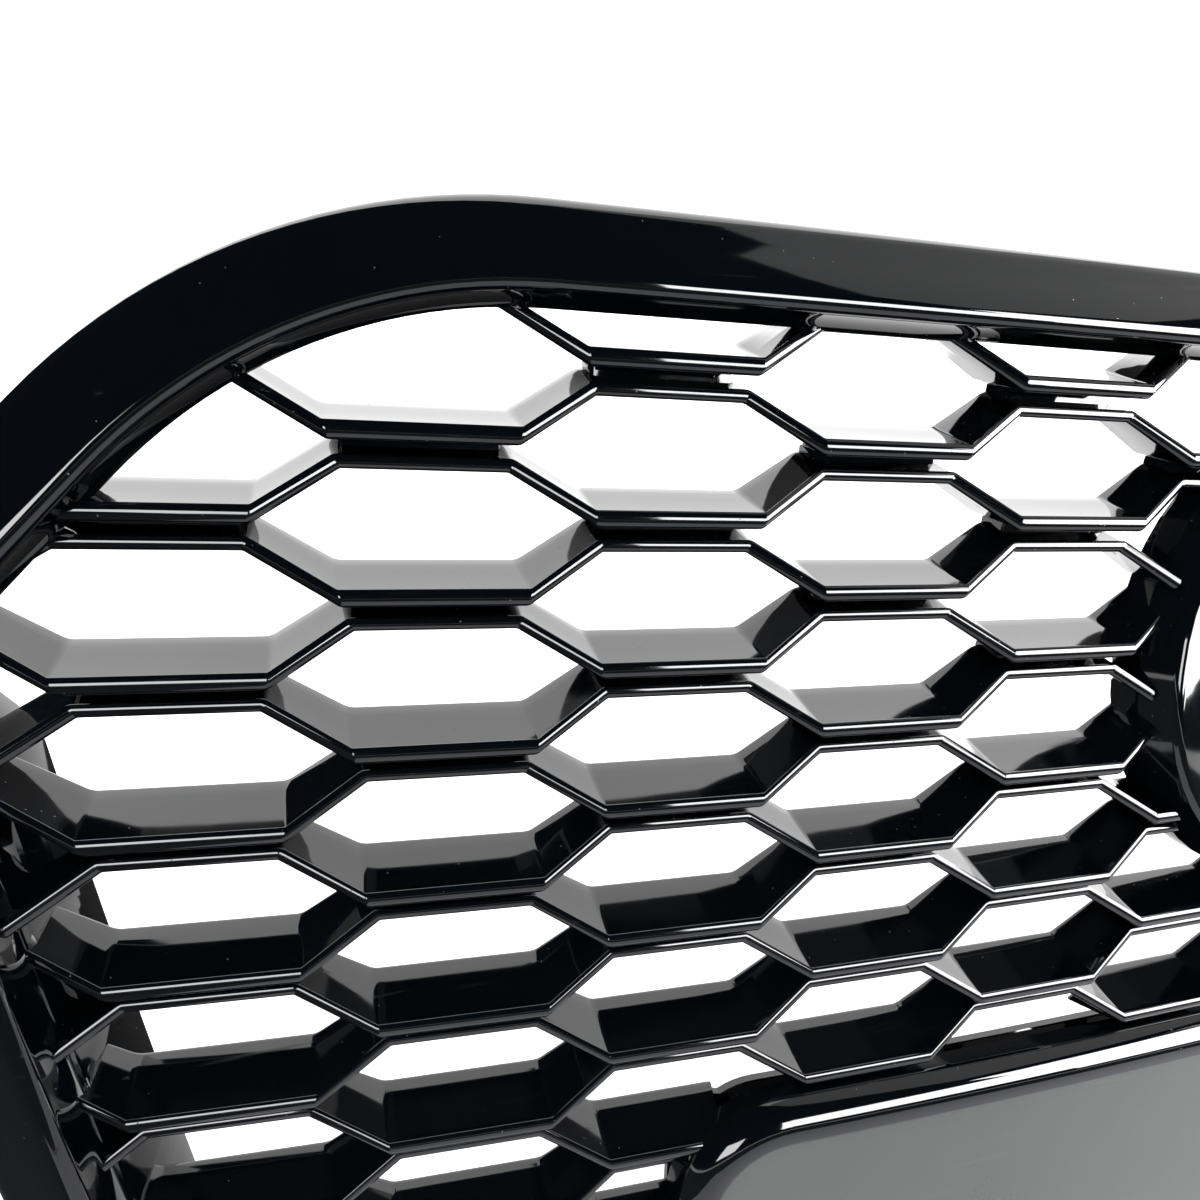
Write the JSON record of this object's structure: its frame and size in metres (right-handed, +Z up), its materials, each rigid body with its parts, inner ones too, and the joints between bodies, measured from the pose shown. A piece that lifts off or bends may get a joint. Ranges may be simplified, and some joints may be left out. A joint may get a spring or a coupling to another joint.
{
  "type": "front grille",
  "caption": "Car front grille: a gloss black surround holds a curved honeycomb insert, a raised number plate plinth, a badge base with a plain cover, and tabs, hooks and clips behind.",
  "frame": {"origin": "middle of the top face of the upper centre tab, on the grille's centre plane", "axes": "+X to the viewer's right across the car, +Y rearward into the car, +Z up; the grille faces -Y"},
  "size_m": [0.8581, 0.1261, 0.3611],
  "materials": {
    "gloss_black": "piano black, high gloss",
    "panel_black": "black, gloss border and a slightly duller panel",
    "zinc": "zinc plated"
  },
  "bodies": {
    "root": {"surround_frame": "gloss_black", "honeycomb_insert": "gloss_black", "plate_plinth": "panel_black", "badge_base": "gloss_black", "badge_blank": "gloss_black", "insert_screw_1": "zinc", "insert_screw_2": "zinc", "insert_screw_3": "zinc", "insert_screw_4": "zinc", "insert_screw_5": "zinc", "insert_screw_6": "zinc", "insert_screw_7": "zinc", "insert_screw_8": "zinc", "insert_screw_9": "zinc", "insert_screw_10": "zinc", "insert_screw_11": "zinc", "insert_screw_12": "zinc", "plinth_screw_1": "zinc", "plinth_screw_2": "zinc", "plinth_screw_3": "zinc", "plinth_screw_4": "zinc", "badge_screw_1": "zinc", "badge_screw_2": "zinc", "badge_screw_3": "zinc", "badge_screw_4": "zinc", "side_clip_1": "zinc", "side_clip_2": "zinc", "side_clip_3": "zinc", "side_clip_4": "zinc", "side_clip_5": "zinc", "side_clip_6": "zinc", "spring_nut_1": "zinc", "spring_nut_2": "zinc", "spring_nut_3": "zinc", "spring_nut_4": "zinc"}
  },
  "joints": []
}
